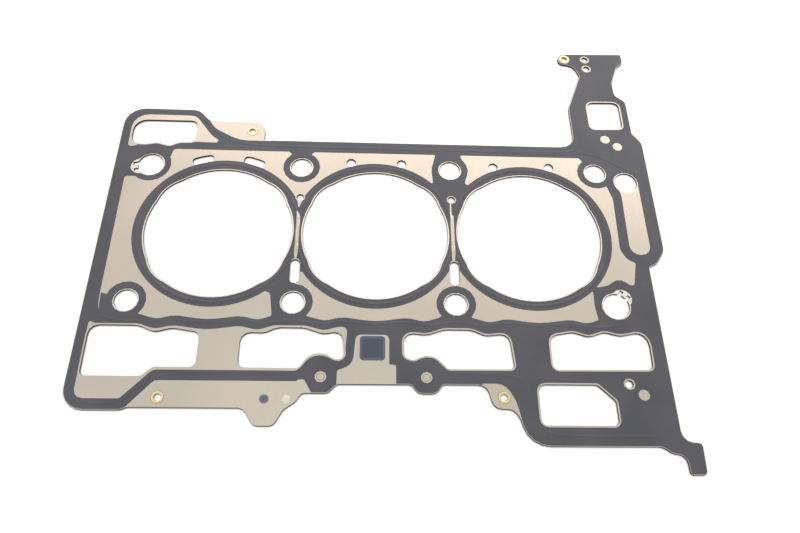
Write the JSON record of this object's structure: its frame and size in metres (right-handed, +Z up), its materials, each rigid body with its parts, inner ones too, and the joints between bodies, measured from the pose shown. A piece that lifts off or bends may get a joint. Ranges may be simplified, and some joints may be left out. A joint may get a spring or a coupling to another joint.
{
  "type": "cylinder head gasket",
  "caption": "Flat coated-steel gasket that seals an in-line engine's cylinder head to its block, with bore beads, bolt holes, passages and riveted layers",
  "frame": {"origin": "the centre of the middle bore, on the gasket's lower face", "axes": "+X along the row of bores towards the tall end, +Y towards the back edge, +Z up, out of the printed face"},
  "size_m": [0.3336, 0.288, 0.0019],
  "materials": {
    "carrier_steel": "rolled steel sheet, bare, satin",
    "spring_steel": "cold-rolled stainless spring steel, bare, satin, warm grey",
    "sealing_print": "baked elastomer screen print, dark slate grey, matte",
    "ink": "thin printed ink, blue-grey, matte",
    "eyelet_brass": "pale brass-plated eyelet, rolled"
  },
  "bodies": {
    "root": {"carrier_layer": "carrier_steel", "upper_layer": "spring_steel", "sealing_print": "sealing_print", "code_field": "ink", "register_dot": "ink", "eyelet_back_left": "eyelet_brass", "eyelet_front_left": "eyelet_brass", "eyelet_front_right": "eyelet_brass", "eyelet_tall_end": "eyelet_brass"}
  },
  "joints": []
}
